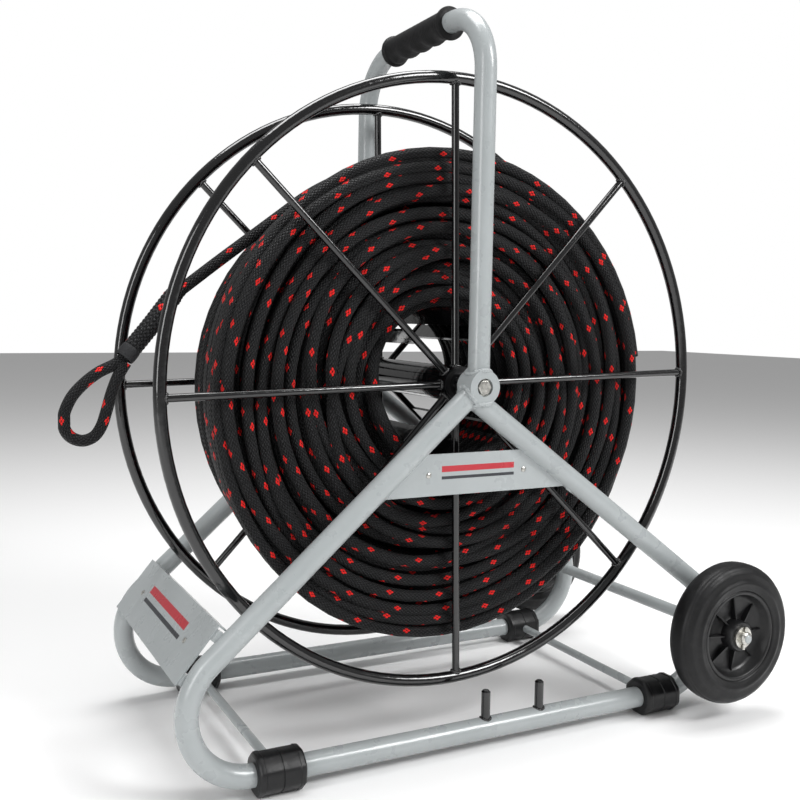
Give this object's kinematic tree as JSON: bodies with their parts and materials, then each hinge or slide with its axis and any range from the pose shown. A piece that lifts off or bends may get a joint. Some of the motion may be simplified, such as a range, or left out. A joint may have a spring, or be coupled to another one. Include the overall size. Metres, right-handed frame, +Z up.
{
  "type": "pulling rope reel on wheeled stand",
  "caption": "Pulling-rope reel: spoked ring drum of braided rope with a spliced eye, turning on a bent-tube stand with carry handle, moulded feet and transport wheels.",
  "frame": {"origin": "on the floor, in the middle of the footprint of the stand, wheels and drum", "axes": "+Z up; -X is the front with the name plate, the wheels are at +X; the drum axle and the wheel axle run along Y"},
  "size_m": [0.9855, 0.5246, 0.9795],
  "materials": {
    "grey_powder_coat": "smooth light grey powder coat",
    "black_gloss_paint": "gloss black paint",
    "zinc_steel": "zinc plated",
    "black_plastic": "moulded, fine texture",
    "grip_rubber": "matt",
    "tyre_rubber": "matt solid rubber",
    "rope_braid": "braided fibre, black with red tracer flecks"
  },
  "bodies": {
    "stand": {"left_side_tube": "grey_powder_coat", "right_side_tube": "grey_powder_coat", "carry_bow": "grey_powder_coat", "left_hub_boss": "grey_powder_coat", "right_hub_boss": "grey_powder_coat", "handle_grip": "grip_rubber", "left_side_plate": "grey_powder_coat", "side_plate_rivets": "zinc_steel", "front_plate": "grey_powder_coat", "front_plate_tabs": "grey_powder_coat", "front_plate_rivets": "zinc_steel", "left_front_foot": "black_plastic", "left_rear_foot": "black_plastic", "right_front_foot": "black_plastic", "right_rear_foot": "black_plastic", "front_cross_rod": "grey_powder_coat", "rear_cross_rod": "grey_powder_coat", "wheel_axle": "grey_powder_coat", "rail_pegs": "black_gloss_paint", "drum_axle": "zinc_steel", "axle_bolts": "zinc_steel", "axle_bolt_washers": "zinc_steel", "axle_spacers": "black_gloss_paint", "wheel_spacers": "zinc_steel", "wheel_washers": "zinc_steel", "split_pins": "zinc_steel", "rope_last_turn": "rope_braid", "rope_lead": "rope_braid", "rope_splice": "rope_braid", "rope_binding": "rope_braid", "rope_eye": "rope_braid"},
    "drum": {"left_flange_ring": "black_gloss_paint", "right_flange_ring": "black_gloss_paint", "left_flange_spokes": "black_gloss_paint", "right_flange_spokes": "black_gloss_paint", "drum_hub_tube": "black_gloss_paint", "drum_bushes": "black_plastic", "core_bars": "black_gloss_paint", "rope_winding": "rope_braid"},
    "left_wheel": {"left_wheel_tyre": "tyre_rubber", "left_wheel_rim": "black_plastic", "left_wheel_bush": "zinc_steel"},
    "right_wheel": {"right_wheel_tyre": "tyre_rubber", "right_wheel_rim": "black_plastic", "right_wheel_bush": "zinc_steel"}
  },
  "joints": [
    {"name": "drum_turn", "type": "hinge", "parent": "stand", "child": "drum", "pos_m": [-0.04113, 0, 0.477], "axis": [0, 1, 0], "continuous": true},
    {"name": "left_wheel_roll", "type": "hinge", "parent": "stand", "child": "left_wheel", "pos_m": [0.34913, -0.227, 0.12505], "axis": [0, 1, 0], "continuous": true},
    {"name": "right_wheel_roll", "type": "hinge", "parent": "stand", "child": "right_wheel", "pos_m": [0.34913, 0.227, 0.12505], "axis": [0, 1, 0], "continuous": true}
  ]
}
